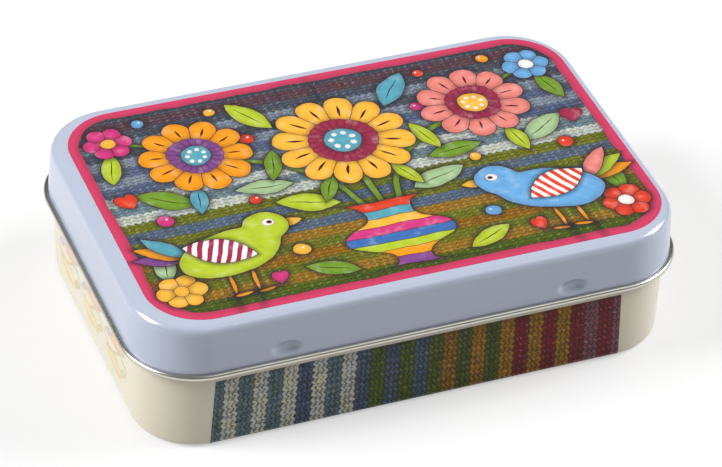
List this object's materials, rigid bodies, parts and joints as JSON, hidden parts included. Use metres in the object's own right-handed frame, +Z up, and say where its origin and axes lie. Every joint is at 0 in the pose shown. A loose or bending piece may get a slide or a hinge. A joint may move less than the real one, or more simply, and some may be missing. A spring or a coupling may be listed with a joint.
{
  "type": "hinged tin box",
  "caption": "Rectangular pressed tin with round corners and a shallow hinged lid that turns on its own rolled edge.",
  "frame": {"origin": "middle of the flat bottom face, on the surface that the tin stands on", "axes": "+X along the length, +Y from the front to the hinge side, +Z up"},
  "size_m": [0.0964, 0.0647, 0.025],
  "materials": {
    "lid_enamel": "lilac-blue gloss enamel on tinplate, printed on top",
    "base_enamel": "cream gloss enamel on tinplate, printed on the walls",
    "lid_print": "varnished picture print",
    "base_print": "varnished knit pattern print",
    "bare_tinplate": "bright lacquered tinplate"
  },
  "bodies": {
    "base_body": {"base": "base_enamel"},
    "lid_body": {"lid": "lid_enamel"}
  },
  "joints": [
    {"name": "lid_hinge", "type": "hinge", "parent": "base_body", "child": "lid_body", "pos_m": [0, 0.03175, 0.0158], "axis": [-1, 0, 0], "range_deg": [0, 105]}
  ]
}
